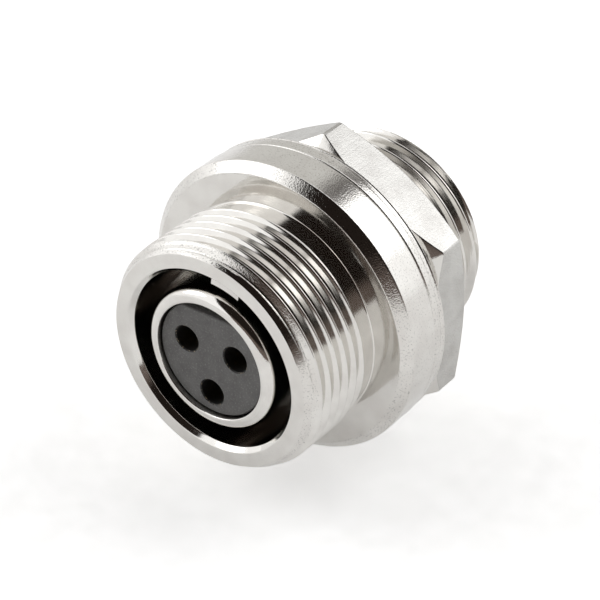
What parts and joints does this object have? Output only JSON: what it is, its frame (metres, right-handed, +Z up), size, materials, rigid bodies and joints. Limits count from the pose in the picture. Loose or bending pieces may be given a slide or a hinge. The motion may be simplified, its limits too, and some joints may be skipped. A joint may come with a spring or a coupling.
{
  "type": "mini xlr panel socket",
  "caption": "Panel-mount miniature audio socket: metal shell with threaded collar, flange, nut and washer, and split contacts in a black insulator.",
  "frame": {"origin": "on the axis in the flange's rear face, which seats on the panel", "axes": "+Y along the axis away from the front face, through the panel; +Z up, towards the flat of the contact insulator; +X to the right seen from the front"},
  "size_m": [0.0178, 0.0174, 0.0184],
  "materials": {
    "nickel_brass": "bright nickel plating",
    "nickel_steel": "nickel plated steel",
    "spring_steel": "plain spring steel",
    "black_plastic": "matt moulded",
    "contact_metal": "thin gold plating"
  },
  "bodies": {
    "shell": {"shell_body": "nickel_brass", "insert_sleeve": "nickel_brass", "insulator_front_1": "black_plastic", "insulator_front_2": "black_plastic", "insulator_front_3": "black_plastic", "insulator_rear": "black_plastic", "retaining_ring": "spring_steel", "contact_1": "contact_metal", "contact_2": "contact_metal", "contact_3": "contact_metal"},
    "washer": {"washer": "nickel_steel"},
    "nut": {"hex_nut": "nickel_brass"}
  },
  "joints": [
    {"name": "washer_slide", "type": "slide", "parent": "shell", "child": "washer", "axis": [0, 1, 0], "range_m": [0, 0.004]},
    {"name": "nut_spin", "type": "hinge", "parent": "washer", "child": "nut", "pos_m": [0, 0.00263, 0], "axis": [0, 1, 0], "range_deg": [0, 1440.01]}
  ],
  "couplings": [
    {"joint": "nut_spin", "follows": "washer_slide", "rad_per_m": 6283.2}
  ]
}
